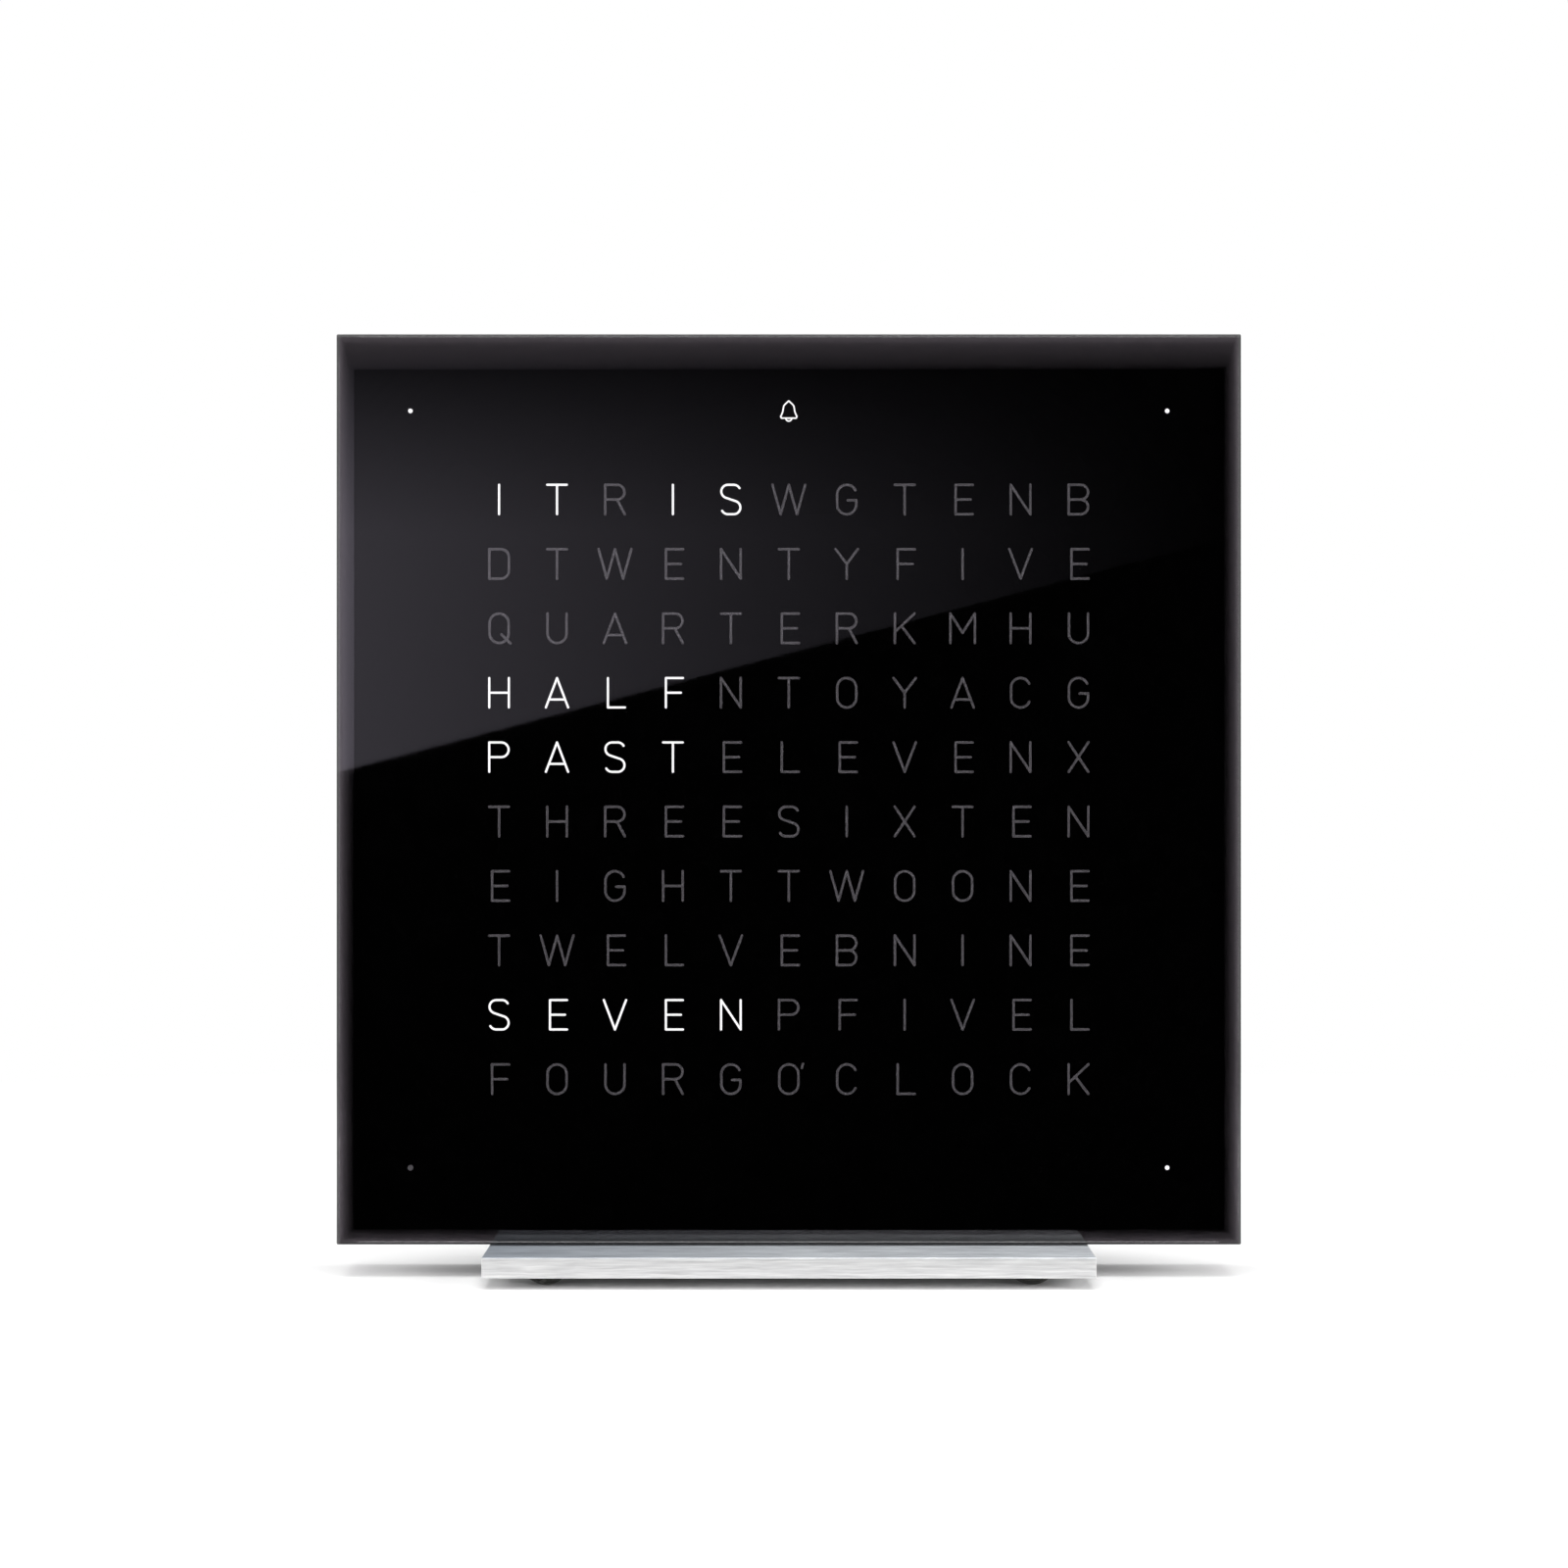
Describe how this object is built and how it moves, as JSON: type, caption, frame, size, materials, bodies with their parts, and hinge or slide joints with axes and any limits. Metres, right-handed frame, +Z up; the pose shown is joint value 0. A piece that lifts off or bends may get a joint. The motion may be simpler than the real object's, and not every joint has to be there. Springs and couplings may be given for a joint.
{
  "type": "word clock",
  "caption": "Square word clock: smoked front over a lit letter grid, corner dots and an alarm bell symbol, shallow housing with rear keys, on a flat aluminium foot with rubber bumpers.",
  "frame": {"origin": "on the table under the middle of the foot", "axes": "+Z up, +X to the viewer's right, +Y from the front face to the back"},
  "size_m": [0.135, 0.05, 0.1408],
  "materials": {
    "smoked_acrylic": "polished smoked acrylic, see-through at its rims",
    "mask_black": "opaque black",
    "magnet_steel": "nickel plated",
    "black_plastic": "moulded black plastic, fine texture",
    "button_plastic": "smooth dark plastic",
    "diffuser_white": "translucent white",
    "board": "solder mask",
    "led_white": "white moulded package",
    "chip_black": "moulded epoxy",
    "screw_steel": "zinc plated",
    "brass": "turned",
    "copper": "bare foil",
    "socket_metal": "stamped, satin",
    "foot_aluminium": "brushed along its width",
    "bumper_rubber": "clear dark rubber domes"
  },
  "bodies": {
    "clock_body": {"housing_frame": "smoked_acrylic", "chassis": "black_plastic", "threaded_inserts": "brass", "diffuser_sheet": "diffuser_white", "light_baffle": "black_plastic", "cover_magnets": "magnet_steel", "main_board": "board", "board_screws": "screw_steel", "letter_leds": "led_white", "minute_leds": "led_white", "bell_led": "led_white", "light_sensor": "chip_black", "led_drivers": "chip_black", "row_transistors": "chip_black", "microcontroller": "chip_black", "clock_crystal": "screw_steel", "backup_cell": "screw_steel", "cell_clip": "socket_metal", "voltage_regulator": "chip_black", "smoothing_capacitors": "magnet_steel", "alarm_sounder": "chip_black", "touch_electrode": "copper", "touch_contact": "copper", "power_socket_shell": "socket_metal", "power_socket_insert": "chip_black", "switch_bodies": "chip_black", "back_cover": "black_plastic", "back_cover_screws": "screw_steel", "foot_plate": "foot_aluminium", "foot_screws": "screw_steel", "bumper_feet": "bumper_rubber"},
    "front_cover": {"front_pane": "smoked_acrylic", "letter_mask": "mask_black", "steel_discs": "magnet_steel"},
    "hour_key": {"hour_button": "button_plastic", "hour_plunger": "button_plastic"},
    "minute_key": {"minute_button": "button_plastic", "minute_plunger": "button_plastic"},
    "alarm_key": {"alarm_button": "button_plastic", "alarm_plunger": "button_plastic"},
    "mode_key": {"mode_button": "button_plastic", "mode_plunger": "button_plastic"}
  },
  "joints": [
    {"name": "cover_pull_off", "type": "slide", "parent": "clock_body", "child": "front_cover", "axis": [0, -1, 0], "range_m": [0, 0.03]},
    {"name": "hour_press", "type": "slide", "parent": "clock_body", "child": "hour_key", "axis": [0, -1, 0], "range_m": [0, 0.0005], "stiffness_N_per_m": 3200},
    {"name": "minute_press", "type": "slide", "parent": "clock_body", "child": "minute_key", "axis": [0, -1, 0], "range_m": [0, 0.0005], "stiffness_N_per_m": 3200},
    {"name": "alarm_press", "type": "slide", "parent": "clock_body", "child": "alarm_key", "axis": [0, -1, 0], "range_m": [0, 0.0005], "stiffness_N_per_m": 3200},
    {"name": "mode_press", "type": "slide", "parent": "clock_body", "child": "mode_key", "axis": [0, -1, 0], "range_m": [0, 0.0005], "stiffness_N_per_m": 3200}
  ]
}
